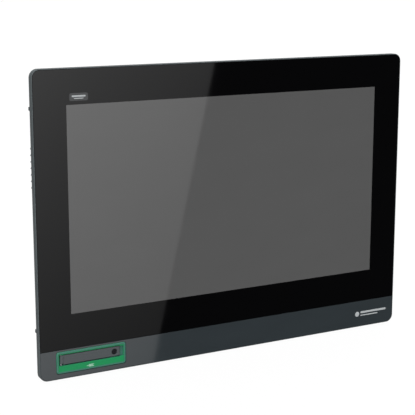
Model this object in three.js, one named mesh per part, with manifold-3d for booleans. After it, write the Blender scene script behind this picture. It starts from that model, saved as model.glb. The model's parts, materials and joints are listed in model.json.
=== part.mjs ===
// A 15.6-inch wide-screen operator panel (HMI) for mounting in a cabinet door.
// Frame: millimetres, +Z up, +X to the right as the operator sees it, +Y into the cabinet.
// Origin: centre of the panel cut-out, in the plane where the flange meets the cabinet door.

import * as THREE from 'three';
import { mergeVertices } from 'three/addons/utils/BufferGeometryUtils.js';
import Module from 'manifold-3d';

const wasm = await Module();
wasm.setup();

// ---------------------------------------------------------------- driving dimensions
const GAP = 0.3;                          // clearance between neighbouring pieces

const PANEL = { w: 414, h: 295, corner: 8, thick: 6.5, round: 0.6 };
const GLASS = { inset: 1, thick: 1.9 };
const BAND_TOP = -118.5;                  // joint between touch glass and lower band
const SCREEN = { w: 344.2, h: 193.5, rise: 14.5 };      // active display area
const LCD = { w: 363.8, h: 215.9, corner: 1.5 };        // display module outline

const GASKET = { inset: 2.6, wide: 3.6, deep: 2.2 };

const TRAY = { w: 392, h: 273, corner: 5, back: 28.5, wall: 1.5, round: 1.2 };
const POSTS = [[-188.3, 129], [188.3, 129], [-188.3, -108], [188.3, -108]];

const BOX = { x: 118, z0: -96, z1: 56, y0: 28.8, y1: 51.5, wall: 1.5, round: 1.2 };
const BOX_FEET = [[-124, 40], [124, 40], [-124, -80], [124, -80]];
const BOARD = { x: 112, z0: -92, z1: 50, y0: 33, thick: 1.6 };
const SINK = { x: 64, z0: -66, z1: 26, base: 2.5, back: 60, fins: 21, fin: 1.6 };

// USB compartment in the lower band
const USB = { x0: -190.1, x1: -117.9, z0: -142.1, z1: -120.5, rim: 1.9, proud: 0.4 };
const DOOR = { x0: -186.25, x1: -124.0, z0: -133.2, z1: -124.1, y0: -6.4, thick: 2.5 };
const DOOR_AXIS = { x: DOOR.x0 + DOOR.thick / 2, y: DOOR.y0 + DOOR.thick / 2, pin: 0.45 };
const DOOR_GAP = 1.2;                     // shadow gap left of the door and below it
const DOOR_GAP_TOP = 0.8;                 // shadow gap above the door
const NAIL_NOTCH = 3.6;                   // width of the finger recess right of the door
const LOCK = { x: -130, z: -128.85, head: 2.6, bore: 3, boss: 3.6, shank: 1.25 };
const LEDGE = -2;                         // depth at which the door seal lands
const CHAMBER = { x0: -178, x1: -136, z0: -132.2, z1: -125.2, y1: 7.5 };
const FRONT_PORTS = { usbA: -167, miniB: -147, z: -128.9, y: 6 };

// Storage-card flap on the right side of the control box
const FLAP = { z0: -63, z1: -17, y0: 33.5, axisX: 120, axisY: 48.2, barrel: 1.3, pin: 0.5 };

// Ports along the underside of the control box
const PORTS = { power: -95, serial: [-62, -26], ethernet: [6, 26], usb: [50, 70] };
const POLES = [-5.08, 0, 5.08];           // power connector pitch

// ---------------------------------------------------------------- finishes
function finish(color, roughness, metalness = 0) {
  return new THREE.MeshStandardMaterial({ color, roughness, metalness, flatShading: true });
}

const SLATE = finish(0x42494b, 0.42);
const BAND_SLATE = finish(0x31373a, 0.12);
const BLACK_GLASS = finish(0x070808, 0.06);
const GREEN = finish(0x1f9455, 0.3);
const FLAP_GREY = finish(0x43494b, 0.5);
const BLACK_STEEL = finish(0x131517, 0.4, 0.5);
const RUBBER = finish(0x1b1c1d, 0.8);
const BLACK_PLASTIC = finish(0x16181a, 0.5);
const WHITE_SHEET = finish(0xe6e8e6, 0.6);
const CLEAR_SHEET = finish(0xc8d2d4, 0.15);
const CIRCUIT = finish(0x1d5a38, 0.45);
const STEEL = finish(0xb4b8ba, 0.35, 0.9);
const ZINC = finish(0xa9adae, 0.4, 0.85);
const ALUMINIUM = finish(0xc3c6c8, 0.32, 0.9);
const PAINTED = finish(0x3f4548, 0.5);
const PLUG_GREEN = finish(0x2f8f4e, 0.5);
const CHIP = finish(0x232527, 0.4);

// ---------------------------------------------------------------- solids
const TURN_TO_X = new THREE.Matrix4().makeBasis(
  new THREE.Vector3(0, 1, 0), new THREE.Vector3(0, 0, 1), new THREE.Vector3(1, 0, 0));

function solid(geometry) {
  geometry.deleteAttribute('normal');
  geometry.deleteAttribute('uv');
  const merged = mergeVertices(geometry, 1e-3);
  return new wasm.Manifold(new wasm.Mesh({
    numProp: 3,
    vertProperties: new Float32Array(merged.attributes.position.array),
    triVerts: new Uint32Array(merged.index.array),
  }));
}

const join = (first, ...rest) => rest.reduce((whole, next) => whole.add(next), first);
const cut = (first, ...rest) => rest.reduce((whole, next) => whole.subtract(next), first);

function block(x0, x1, y0, y1, z0, z1) {
  const box = new THREE.BoxGeometry(x1 - x0, y1 - y0, z1 - z0);
  return solid(box.translate((x0 + x1) / 2, (y0 + y1) / 2, (z0 + z1) / 2));
}

// A rod along one axis; (a, b) are its two other coordinates in x, y, z order.
function rod(axis, a, b, from, to, radius, sides = 16) {
  const tube = new THREE.CylinderGeometry(radius, radius, to - from, sides);
  const middle = (from + to) / 2;
  if (axis === 'x') return solid(tube.rotateZ(Math.PI / 2).translate(middle, a, b));
  if (axis === 'y') return solid(tube.translate(a, middle, b));
  return solid(tube.rotateX(Math.PI / 2).translate(a, b, middle));
}

// An outline with rounded corners; radii run bottom left, bottom right, top right, top left.
function outline(u0, u1, v0, v1, radius) {
  const [bl, br, tr, tl] = Array.isArray(radius) ? radius : [radius, radius, radius, radius];
  const shape = new THREE.Shape();
  const corner = (u, v, r, start) => {
    if (r > 0) shape.absarc(u, v, r, start, start + Math.PI / 2, false);
    else shape.lineTo(u, v);
  };
  shape.moveTo(u0 + bl, v0);
  corner(u1 - br, v0 + br, br, -Math.PI / 2);
  corner(u1 - tr, v1 - tr, tr, 0);
  corner(u0 + tl, v1 - tl, tl, Math.PI / 2);
  corner(u0 + bl, v0 + bl, bl, Math.PI);
  shape.closePath();
  return shape;
}

// The outline drawn in (x, z), (y, z) or (x, y) and extruded along y, x or z.
function prism(shape, axis, from, to, curveSegments = 3) {
  const body = new THREE.ExtrudeGeometry(shape, {
    depth: to - from, bevelEnabled: false, curveSegments });
  if (axis === 'x') return solid(body.applyMatrix4(TURN_TO_X).translate(from, 0, 0));
  if (axis === 'y') return solid(body.rotateX(Math.PI / 2).translate(0, to, 0));
  return solid(body.translate(0, 0, from));
}

// A plate in the (x, z) plane whose front or rear edge is rounded all the way round.
function softPlate(shape, y0, y1, round, roundedEnd, curveSegments = 3) {
  const spare = 4;                        // cut away again at the square end
  const depth = y1 - y0 + spare - 2 * round;
  const body = new THREE.ExtrudeGeometry(shape, {
    depth, bevelEnabled: true, bevelThickness: round, bevelSize: round, bevelOffset: -round,
    bevelSegments: 3, curveSegments });
  body.rotateX(Math.PI / 2);
  const far = 1000;
  if (roundedEnd === 'front') {
    body.translate(0, y0 + depth + round, 0);
    return cut(solid(body), block(-far, far, y1, y1 + 2 * spare, -far, far));
  }
  body.translate(0, y1 - round, 0);
  return cut(solid(body), block(-far, far, y0 - 2 * spare, y0, -far, far));
}

const panel = new THREE.Group();

function piece(name, body, material, position = [0, 0, 0], rotation = [0, 0, 0]) {
  const { vertProperties, triVerts } = body.getMesh();
  const geometry = new THREE.BufferGeometry();
  geometry.setAttribute('position', new THREE.BufferAttribute(vertProperties, 3));
  geometry.setIndex(new THREE.BufferAttribute(triVerts, 1));
  geometry.computeVertexNormals();
  const mesh = new THREE.Mesh(geometry, material);
  mesh.name = name;
  mesh.position.set(...position);
  mesh.rotation.set(...rotation);
  panel.add(mesh);
}

// A pan-head screw along y, head towards +y: the head stands on the plane y = 0.
function panScrew(headRadius, headHeight, shankRadius, shankLength) {
  const head = rod('y', 0, 0, 0, headHeight, headRadius, 18);
  const shank = rod('y', 0, 0, -shankLength, 0.1, shankRadius, 12);
  const slot = headRadius * 0.72;
  const wide = headRadius * 0.15;
  const deep = headHeight * 0.55;
  return cut(join(head, shank),
    block(-slot, slot, headHeight - deep, headHeight + 1, -wide, wide),
    block(-wide, wide, headHeight - deep, headHeight + 1, -slot, slot));
}

// ---------------------------------------------------------------- front assembly
const front = -PANEL.thick;
const glassBack = front + GLASS.thick;
const recessFloor = glassBack + GAP;
const glassX = PANEL.w / 2 - GLASS.inset;
const glassZ = PANEL.h / 2 - GLASS.inset;
const glassCorner = PANEL.corner - GLASS.inset;
const lcdX = LCD.w / 2;
const lcdZ = [SCREEN.rise - LCD.h / 2, SCREEN.rise + LCD.h / 2];
const usbFlangeBack = glassBack;
const usbTub = { x0: -188.9, x1: -119.1, z0: -136, z1: -121.5, y1: -0.8 };
const usbPocket = { x0: -179.5, x1: -124.6, z0: -134.4, z1: -124, y1: 9 };
const doorPocket = { x0: DOOR.x0 - DOOR_GAP, x1: DOOR.x1 + 0.4,
  z0: DOOR.z0 - DOOR_GAP, z1: DOOR.z1 + DOOR_GAP_TOP };

function ringOutline(x, z0, z1, corner, wide) {
  const ring = outline(-x, x, z0, z1, corner);
  ring.holes.push(outline(-x + wide, x - wide, z0 + wide, z1 - wide, Math.max(corner - wide, 0)));
  return ring;
}

function frontBezel() {
  const plate = softPlate(
    outline(-PANEL.w / 2, PANEL.w / 2, -PANEL.h / 2, PANEL.h / 2, PANEL.corner),
    front, 0, PANEL.round, 'front', 4);
  const grow = GAP;
  const glassRecess = prism(
    outline(-glassX - grow, glassX + grow, -glassZ - grow, glassZ + grow, glassCorner + grow),
    'y', front - 1, recessFloor, 4);
  const lcdOpening = prism(
    outline(-lcdX - 0.5, lcdX + 0.5, lcdZ[0] - 0.5, lcdZ[1] + 0.5, 1), 'y', recessFloor - 1, 1);
  const usbOpening = block(usbTub.x0 - GAP, usbTub.x1 + GAP, recessFloor - 1, 6,
    usbTub.z0 - GAP, usbTub.z1 + GAP);
  const gx = PANEL.w / 2 - GASKET.inset;
  const gz = PANEL.h / 2 - GASKET.inset;
  const groove = prism(ringOutline(gx, -gz, gz, 5.4, GASKET.wide), 'y', -GASKET.deep, 1);
  const collarX = TRAY.w / 2 - TRAY.wall - GAP;
  const collarZ = TRAY.h / 2 - TRAY.wall - GAP;
  const collar = prism(ringOutline(collarX, -collarZ, collarZ, 3.2, 2.5), 'y', -0.8, 4);
  const edgeX = TRAY.w / 2 + GAP;
  const edgeZ = TRAY.h / 2 + GAP;
  const edgeGroove = prism(ringOutline(edgeX, -edgeZ, edgeZ, TRAY.corner + GAP,
    TRAY.wall + 2 * GAP), 'y', -0.6, 1);
  const posts = POSTS.map(([x, z]) => rod('y', x, z, -0.5, TRAY.back - TRAY.wall - GAP, 4, 16));
  const postHoles = POSTS.map(([x, z]) => rod('y', x, z, 12, TRAY.back, 1.9, 12));
  return cut(join(cut(plate, groove, edgeGroove), collar, ...posts),
    glassRecess, lcdOpening, usbOpening, ...postHoles);
}

function touchGlass() {
  const shape = outline(-glassX, glassX, BAND_TOP + GAP / 2, glassZ,
    [0, 0, glassCorner, glassCorner]);
  return prism(shape, 'y', front, glassBack, 4);
}

function lowerBand() {
  const shape = outline(-glassX, glassX, -glassZ, BAND_TOP - GAP / 2,
    [glassCorner, glassCorner, 0, 0]);
  shape.holes.push(outline(USB.x0 - GAP, USB.x1 + GAP, USB.z0 - GAP, USB.z1 + GAP, 2.5));
  return prism(shape, 'y', front, glassBack, 4);
}

function panelGasket() {
  const play = GAP;
  const x = PANEL.w / 2 - GASKET.inset - play;
  const z = PANEL.h / 2 - GASKET.inset - play;
  return prism(ringOutline(x, -z, z, 5.1, GASKET.wide - 2 * play), 'y', -GASKET.deep + GAP, -0.05);
}

piece('front_bezel', frontBezel(), SLATE);
piece('touch_glass', touchGlass(), BLACK_GLASS);
piece('lower_band', lowerBand(), BAND_SLATE);
piece('panel_gasket', panelGasket(), RUBBER);

// ---------------------------------------------------------------- USB compartment
function usbSurround() {
  const flange = softPlate(outline(USB.x0, USB.x1, USB.z0, USB.z1, 2.6),
    front - USB.proud, usbFlangeBack, 0.7, 'front');
  const tub = block(usbTub.x0, usbTub.x1, usbFlangeBack - 0.1, usbTub.y1, usbTub.z0, usbTub.z1);
  const pocket = block(usbPocket.x0, usbPocket.x1, usbTub.y1 - 0.1, usbPocket.y1,
    usbPocket.z0, usbPocket.z1);
  const face = prism(outline(USB.x0 + USB.rim, USB.x1 - USB.rim, USB.z0 + USB.rim,
    USB.z1 - USB.rim, 0.8), 'y', front - 2, front, 2);
  const doorHole = prism(
    outline(doorPocket.x0, doorPocket.x1, doorPocket.z0, doorPocket.z1, 0.6),
    'y', front - 2, LEDGE, 2);
  const nailNotch = block(DOOR.x1, DOOR.x1 + NAIL_NOTCH, front - 2, -4.2,
    doorPocket.z0 + 0.6, doorPocket.z1 - 0.6);
  const chamber = block(CHAMBER.x0, CHAMBER.x1, LEDGE - 0.1, CHAMBER.y1, CHAMBER.z0, CHAMBER.z1);
  const windowA = block(FRONT_PORTS.usbA - 6.85, FRONT_PORTS.usbA + 6.85, CHAMBER.y1 - 0.1, 12,
    FRONT_PORTS.z - 3.15, FRONT_PORTS.z + 3.15);
  const windowMini = block(FRONT_PORTS.miniB - 4.2, FRONT_PORTS.miniB + 4.2, CHAMBER.y1 - 0.1, 12,
    FRONT_PORTS.z - 2.35, FRONT_PORTS.z + 2.35);
  const ringPocket = rod('y', LOCK.x, LOCK.z, LEDGE - 0.1, 0.6, 3.4, 20);
  const thread = rod('y', LOCK.x, LOCK.z, 0.5, 5, LOCK.shank + 0.5, 16);
  const pinBore = rod('z', DOOR_AXIS.x, DOOR_AXIS.y, doorPocket.z0 - 1.3, doorPocket.z1 + 1.2,
    DOOR_AXIS.pin + GAP, 12);
  return cut(join(flange, tub, pocket),
    face, doorHole, nailNotch, chamber, windowA, windowMini, ringPocket, thread, pinBore);
}

function usbDoor() {
  const half = DOOR.thick / 2;
  const section = new THREE.Shape();
  section.moveTo(DOOR.x1, DOOR_AXIS.y - half + 0.5);
  section.lineTo(DOOR.x1, DOOR_AXIS.y + half);
  section.lineTo(DOOR_AXIS.x, DOOR_AXIS.y + half);
  section.absarc(DOOR_AXIS.x, DOOR_AXIS.y, half, Math.PI / 2, 1.5 * Math.PI, false);
  section.lineTo(DOOR.x1 - 0.5, DOOR_AXIS.y - half);
  section.closePath();
  const leaf = prism(section, 'z', DOOR.z0, DOOR.z1, 5);
  const boss = rod('y', LOCK.x, LOCK.z, DOOR.y0 + 2, -2.4, LOCK.boss, 20);
  const lineX = DOOR_AXIS.x + 2;
  const hingeLine = block(lineX - 0.25, lineX + 0.25, DOOR.y0 - 1, DOOR.y0 + 0.4,
    DOOR.z0 - 1, DOOR.z1 + 1);
  const hingeStep = block(DOOR.x0 - 1, lineX, DOOR.y0 - 1, DOOR_AXIS.y + 2, DOOR.z0 - 1,
    DOOR.z0 + 0.9);
  const counterbore = rod('y', LOCK.x, LOCK.z, DOOR.y0 - 1, DOOR.y0 + 2, LOCK.bore, 20);
  const hole = rod('y', LOCK.x, LOCK.z, DOOR.y0 + 1, 0, LOCK.shank + 0.45, 16);
  const pinBore = rod('z', DOOR_AXIS.x, DOOR_AXIS.y, DOOR.z0 - 1, DOOR.z1 + 1,
    DOOR_AXIS.pin + GAP, 12);
  return cut(join(leaf, boss), hingeLine, hingeStep, counterbore, hole, pinBore);
}

function doorSeal() {
  const margin = 0.1;
  const wide = 0.75;
  const ring = outline(CHAMBER.x0 - margin - wide, CHAMBER.x1 + margin + wide,
    CHAMBER.z0 - margin - wide, CHAMBER.z1 + margin + wide, 1.2);
  ring.holes.push(outline(CHAMBER.x0 - margin, CHAMBER.x1 + margin, CHAMBER.z0 - margin,
    CHAMBER.z1 + margin, 0.5));
  return prism(ring, 'y', DOOR.y0 + DOOR.thick + GAP, LEDGE - GAP, 2);
}

function lockScrew() {
  const head = rod('y', LOCK.x, LOCK.z, -5.9, -4.7, LOCK.head, 20);
  const shank = rod('y', LOCK.x, LOCK.z, -4.8, 2.4, LOCK.shank, 12);
  const slot = block(LOCK.x - 2.6, LOCK.x + 2.6, -6.5, -5.3, LOCK.z - 0.4, LOCK.z + 0.4);
  return cut(join(head, shank), slot);
}

function lockRetainer() {
  return cut(rod('y', LOCK.x, LOCK.z, -0.7, 0.1, 2.5, 20),
    rod('y', LOCK.x, LOCK.z, -1, 1, LOCK.shank + GAP, 12));
}

piece('usb_surround', usbSurround(), GREEN);
piece('usb_door', usbDoor(), FLAP_GREY);
piece('door_seal', doorSeal(), RUBBER);
piece('door_hinge_pin',
  rod('z', DOOR_AXIS.x, DOOR_AXIS.y, doorPocket.z0 - 1, doorPocket.z1 + 0.9, DOOR_AXIS.pin, 12),
  STEEL);
piece('lock_screw', lockScrew(), BLACK_STEEL);
piece('lock_retainer', lockRetainer(), BLACK_PLASTIC);

// ---------------------------------------------------------------- connectors
// Local frame of every connector: mouth in the plane z = 0 facing -z, board side at y = 0.
function usbSocket() {
  const shell = block(-6.55, 6.55, 0, 5.7, 0, 12.2);
  const mouth = block(-6.15, 6.15, 0.4, 5.3, -1, 9.5);
  const tongue = block(-5.5, 5.5, 2.9, 4.7, 0.7, 9.7);
  return join(cut(shell, mouth), tongue);
}

function miniSocket() {
  const mouth = new THREE.Shape([[-3.4, 1.2], [-2.7, 0.4], [2.7, 0.4], [3.4, 1.2], [3.4, 3.6],
    [-3.4, 3.6]].map(([x, y]) => new THREE.Vector2(x, y)));
  const shell = block(-3.8, 3.8, 0, 4, 0, 12.2);
  return join(cut(shell, prism(mouth, 'z', -1, 7)), block(-2.4, 2.4, 1.7, 2.4, 0.6, 7.2));
}

function ethernetJack() {
  const shell = block(-8, 8, 0, 13.4, 0, 18);
  const mouth = block(-5.9, 5.9, 2.4, 9.4, -1, 13);
  const latch = block(-3.2, 3.2, 9.3, 10.9, -1, 9);
  const lamps = [-1, 1].map((side) => block(side * 6.2 - 1.3, side * 6.2 + 1.3, 11.4, 12.8, -1, 0.4));
  return cut(shell, mouth, latch, ...lamps);
}

function dShape(wideHalf, narrowHalf, y0, y1, corner) {
  const points = [[-narrowHalf + corner, y0], [narrowHalf - corner, y0], [narrowHalf, y0 + corner],
    [wideHalf, y1 - corner], [wideHalf - corner, y1], [-wideHalf + corner, y1],
    [-wideHalf, y1 - corner], [-narrowHalf, y0 + corner]];
  return new THREE.Shape(points.map(([x, y]) => new THREE.Vector2(x, y)));
}

const SERIAL_JACK_SCREWS = [-12.5, 12.5];

function serialPort() {
  const inner = BOX.wall + GAP;           // the flange lies behind the wall of the box
  const body = block(-15.4, 15.4, 0.2, 12.6, inner, 12);
  const shroud = prism(dShape(8.9, 7.7, 1.8, 11, 1.6), 'z', -5.6, inner + 0.1);
  const hollow = prism(dShape(8.3, 7.1, 2.4, 10.4, 1.4), 'z', -6.6, inner - 0.6);
  const pins = [];
  for (let pin = 0; pin < 9; pin += 1) {
    const upper = pin < 5;
    const x = upper ? (pin - 2) * 2.77 : (pin - 6.5) * 2.77;
    pins.push(rod('z', x, upper ? 7.8 : 5, -4.4, inner, 0.5, 6));
  }
  const studs = SERIAL_JACK_SCREWS.map((x) => rod('z', x, 6.4, -4.8, inner + 0.1, 2.7, 6));
  const threads = SERIAL_JACK_SCREWS.map((x) => rod('z', x, 6.4, -5.8, 0, 1.3, 8));
  return cut(join(cut(join(body, shroud), hollow), ...pins, ...studs), ...threads);
}

function powerHeader() {
  const shell = block(-8.6, 8.6, 0, 12.4, 0, 10);
  const mouth = block(-7.95, 7.95, 1, 11.5, -1, 7.5);
  const pins = POLES.map((x) => block(x - 0.5, x + 0.5, 5.7, 6.7, 1.2, 7.6));
  return join(cut(shell, mouth), ...pins);
}

const PLUG_SCREW = { z: -8.5, y0: 6.9, y1: 9.9, head: 1.45 };

function powerPlug() {
  const body = prism(outline(-7.6, 7.6, 1.4, 11.1, 0.7), 'z', -13, 6.9, 1);
  const sockets = POLES.map((x) => block(x - 0.9, x + 0.9, 5.3, 7.1, 0.4, 8));
  const entries = POLES.map((x) => block(x - 1.7, x + 1.7, 2.6, 5.6, -14, -5.5));
  const wells = POLES.map((x) => rod('y', x, PLUG_SCREW.z, 6.4, 12, PLUG_SCREW.head + 0.35, 14));
  const grip = [-1, 1].map((side) => block(side * 7.6 - 0.5, side * 7.6 + 0.5, 3, 9.5, -11.5, -7));
  return cut(body, ...sockets, ...entries, ...wells, ...grip);
}

function terminalScrew() {
  const head = rod('y', 0, 0, PLUG_SCREW.y0 + 1.2, PLUG_SCREW.y1, PLUG_SCREW.head, 14);
  const tip = rod('y', 0, 0, PLUG_SCREW.y0, PLUG_SCREW.y0 + 1.3, 0.95, 10);
  const slot = block(-2, 2, PLUG_SCREW.y1 - 0.7, PLUG_SCREW.y1 + 1, -0.25, 0.25);
  return cut(join(head, tip), slot);
}

// Front sockets face the operator, so their mouths turn from -z to -y.
const faceFront = [-Math.PI / 2, 0, 0];
const frontBoard = { y0: FRONT_PORTS.y + 12.2 + GAP, thick: 1.6 };
piece('front_usb_socket', usbSocket(), STEEL,
  [FRONT_PORTS.usbA, FRONT_PORTS.y, FRONT_PORTS.z + 2.85], faceFront);
piece('front_mini_socket', miniSocket(), STEEL,
  [FRONT_PORTS.miniB, FRONT_PORTS.y, FRONT_PORTS.z + 2], faceFront);
piece('front_usb_board', block(-184, -126, frontBoard.y0, frontBoard.y0 + frontBoard.thick,
  -133.5, -110), CIRCUIT);

// ---------------------------------------------------------------- display module
const lcdFront = -3.1;
const cellFront = lcdFront + 0.8 + GAP;
const LAYERS = { cell: 1.4, diffuser: 0.6, guide: 2.0, reflector: 0.4, pan: 1.0 };
const diffuserFront = cellFront + LAYERS.cell + GAP;
const guideFront = diffuserFront + LAYERS.diffuser + GAP;
const reflectorFront = guideFront + LAYERS.guide + GAP;
const panFront = reflectorFront + LAYERS.reflector + GAP;
const ledHeight = 4;

function centredSheet(inset, y0, thick, corner = 0) {
  return prism(outline(-lcdX + inset, lcdX - inset, lcdZ[0] + inset, lcdZ[1] - inset, corner),
    'y', y0, y0 + thick);
}

function displayGasket() {
  const ring = outline(-lcdX + 0.5, lcdX - 0.5, lcdZ[0] + 0.5, lcdZ[1] - 0.5, 1);
  ring.holes.push(outline(-lcdX + 5, lcdX - 5, lcdZ[0] + 5, lcdZ[1] - 5, 1));
  return prism(ring, 'y', recessFloor, lcdFront - GAP);
}

function lcdFrontFrame() {
  const skirt = 0.8;
  const shell = centredSheet(0, lcdFront, panFront + LAYERS.pan - lcdFront, LCD.corner);
  const inside = centredSheet(skirt, lcdFront + 0.8, 30, 0.7);
  const bar = 2;                          // the frame reaches just outside the active area
  const opening = prism(outline(-SCREEN.w / 2 - bar, SCREEN.w / 2 + bar,
    SCREEN.rise - SCREEN.h / 2 - bar, SCREEN.rise + SCREEN.h / 2 + bar, 0), 'y', -10, 10);
  return cut(shell, inside, opening);
}

piece('display_gasket', displayGasket(), RUBBER);
piece('lcd_front_frame', lcdFrontFrame(), STEEL);
piece('lcd_cell', centredSheet(1.6, cellFront, LAYERS.cell), finish(0x55585a, 0.1));
piece('diffuser_sheet', centredSheet(2, diffuserFront, LAYERS.diffuser), WHITE_SHEET);
piece('light_guide', block(-lcdX + 3, lcdX - 3, guideFront, guideFront + LAYERS.guide,
  lcdZ[0] + 2 + ledHeight + GAP, lcdZ[1] - 3), CLEAR_SHEET);
piece('led_strip', block(-lcdX + 6, lcdX - 6, guideFront, guideFront + LAYERS.guide,
  lcdZ[0] + 2, lcdZ[0] + 2 + ledHeight), WHITE_SHEET);
piece('reflector_sheet', centredSheet(2, reflectorFront, LAYERS.reflector), WHITE_SHEET);
piece('lcd_rear_pan', centredSheet(1.2, panFront, LAYERS.pan), ZINC);

// ---------------------------------------------------------------- rear housing
const trayX = TRAY.w / 2;
const trayZ = TRAY.h / 2;
const trayInner = TRAY.back - TRAY.wall;
const TOUCH_BOARD = { x: [-165, -95], z: [62, 98], y0: 16.4, thick: 1.6 };
const LOUVRE = { z0: 33, count: 7, pitch: 6.2, tall: 3.4, reach: 1.5 };
const LUG = { z: [108.2, -107.1], y0: 21, half: 1.6, proud: 1.7, root: 0.2 };
const BOX_OPENING = { x: 95, z0: -78, z1: 36 };
const RATING_PLATE = { x0: 128, x1: 178, z0: 72, z1: 108, deep: 0.5 };
const BEADS = { x: 150, z0: -84, z1: 52, half: 3, proud: 0.8 };

function touchBoardPoints() {
  return [[TOUCH_BOARD.x[0] + 5, TOUCH_BOARD.z[0] + 5], [TOUCH_BOARD.x[1] - 5, TOUCH_BOARD.z[1] - 5]];
}

// One vent blade pressed out of a side wall, closed above and open below.
function louvre(side, z) {
  const x = side * (trayX - 0.5);
  const edge = side * (trayX + LOUVRE.reach);
  const blade = new THREE.Shape([[x, z], [edge, z], [x, z + LOUVRE.tall]]
    .map(([u, v]) => new THREE.Vector2(u, v)));
  return prism(blade, 'y', 13, TRAY.back - 0.2);
}

function rearHousing() {
  const shell = softPlate(outline(-trayX, trayX, -trayZ, trayZ, TRAY.corner),
    GAP, TRAY.back, TRAY.round, 'rear');
  const inner = TRAY.wall;
  const hollow = prism(outline(-trayX + inner, trayX - inner, -trayZ + inner, trayZ - inner,
    TRAY.corner - inner), 'y', -1, trayInner);
  const standoffs = [...touchBoardPoints(), [-178, -114], [-132, -114]].map(([x, z], index) => {
    const reach = index < 2 ? TOUCH_BOARD.y0 + TOUCH_BOARD.thick : frontBoard.y0 + frontBoard.thick;
    return rod('y', x, z, reach + GAP, trayInner + 0.5, 2.6, 10);
  });
  const blades = [];
  const bladeSlots = [];
  for (const side of [-1, 1]) {
    for (let row = 0; row < LOUVRE.count; row += 1) {
      const z = LOUVRE.z0 + row * LOUVRE.pitch;
      blades.push(louvre(side, z));
      bladeSlots.push(block(side * trayX - 2, side * trayX + 2, 14.5, trayInner - 2, z - 1.6, z - 0.2));
    }
    for (const z of LUG.z) {
      const ends = [side * (trayX - LUG.root), side * (trayX + LUG.proud)].sort((a, b) => a - b);
      blades.push(block(...ends, LUG.y0, TRAY.back - 0.2, z - LUG.half, z + LUG.half));
    }
  }
  // slots in which the clamps that hold the panel in its cut-out hook
  const clampSlots = [];
  for (const side of [-1, 1]) {
    for (const z of [-60, 5, 95]) {
      clampSlots.push(block(side * trayX - 2, side * trayX + 2, 6.5, 10, z - 7, z + 7));
    }
    for (const x of [-150, -50, 50, 150]) {
      clampSlots.push(block(x - 7, x + 7, 6.5, 10, side * trayZ - 2, side * trayZ + 2));
    }
  }
  const vents = [];
  for (const z of [70, 98]) {
    for (let column = 0; column < 21; column += 1) {
      const x = (column - 10) * 11;
      vents.push(block(x - 1.5, x + 1.5, trayInner - 1, TRAY.back + 1, z, z + 20));
    }
  }
  for (let column = 0; column < 15; column += 1) {
    const x = (column - 7) * 16;
    vents.push(block(x - 5, x + 5, 16, 19, trayZ - 2, trayZ + 1));
    vents.push(block(x - 5, x + 5, 16, 19, -trayZ - 1, -trayZ + 2));
  }
  const opening = prism(outline(-BOX_OPENING.x, BOX_OPENING.x, BOX_OPENING.z0, BOX_OPENING.z1, 4),
    'y', trayInner - 1, TRAY.back + 1, 2);
  const plateRecess = block(RATING_PLATE.x0 - GAP, RATING_PLATE.x1 + GAP,
    TRAY.back - RATING_PLATE.deep, TRAY.back + 1, RATING_PLATE.z0 - GAP, RATING_PLATE.z1 + GAP);
  const beads = [-1, 1].map((side) => prism(outline(side * BEADS.x - BEADS.half,
    side * BEADS.x + BEADS.half, BEADS.z0, BEADS.z1, BEADS.half),
    'y', TRAY.back - 0.1, TRAY.back + BEADS.proud, 2));
  const screwHoles = POSTS.map(([x, z]) => rod('y', x, z, trayInner - 1, TRAY.back + 1, 2.1, 12));
  const footHoles = BOX_FEET.map(([x, z]) => rod('y', x, z, trayInner - 1, TRAY.back + 1, 2.3, 12));
  const earthHole = rod('y', 150, -112, trayInner - 1, TRAY.back + 1, 2.3, 12);
  return cut(join(cut(shell, hollow), ...standoffs, ...blades, ...beads), plateRecess,
    ...bladeSlots, ...clampSlots, ...vents, opening, ...screwHoles, ...footHoles, earthHole);
}

function touchController() {
  const [x0, x1] = TOUCH_BOARD.x;
  const [z0, z1] = TOUCH_BOARD.z;
  const board = block(x0, x1, TOUCH_BOARD.y0, TOUCH_BOARD.y0 + TOUCH_BOARD.thick, z0, z1);
  const chip = block(-138, -124, TOUCH_BOARD.y0 - 1.4, TOUCH_BOARD.y0 + 0.1, 73, 87);
  const plugs = [-155, -112].map((x) => block(x - 7, x + 7, TOUCH_BOARD.y0 - 4, TOUCH_BOARD.y0 + 0.1,
    66, 71));
  return join(board, chip, ...plugs);
}

piece('rear_housing', rearHousing(), PAINTED);
piece('rating_plate', block(RATING_PLATE.x0, RATING_PLATE.x1, TRAY.back - 0.2, TRAY.back + 0.1,
  RATING_PLATE.z0, RATING_PLATE.z1), ALUMINIUM);
piece('touch_controller', touchController(), CIRCUIT);
POSTS.forEach(([x, z], index) => {
  piece(`housing_screw_${index + 1}`, panScrew(3.2, 2.1, 1.5, 14), STEEL, [x, TRAY.back + GAP, z]);
});
piece('earth_screw', join(panScrew(3.6, 2.6, 1.95, 8), rod('y', 0, 0, -0.05, 0.9, 5, 20)), ZINC,
  [150, TRAY.back + GAP, -112]);

// ---------------------------------------------------------------- control box
const boxBackInner = BOX.y1 - BOX.wall;
const boardBack = BOARD.y0 + BOARD.thick;
const portY = boardBack + GAP;
const BOARD_POSTS = [[-106, 44], [106, 44], [-106, -50], [106, -66]];
const sinkY = BOX.y1 + GAP;
const PEDESTAL = { x: 18, z0: -38, z1: -2 };
const FLAP_OPENING = { y0: 34, y1: 46, z0: -58, z1: -24 };

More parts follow.
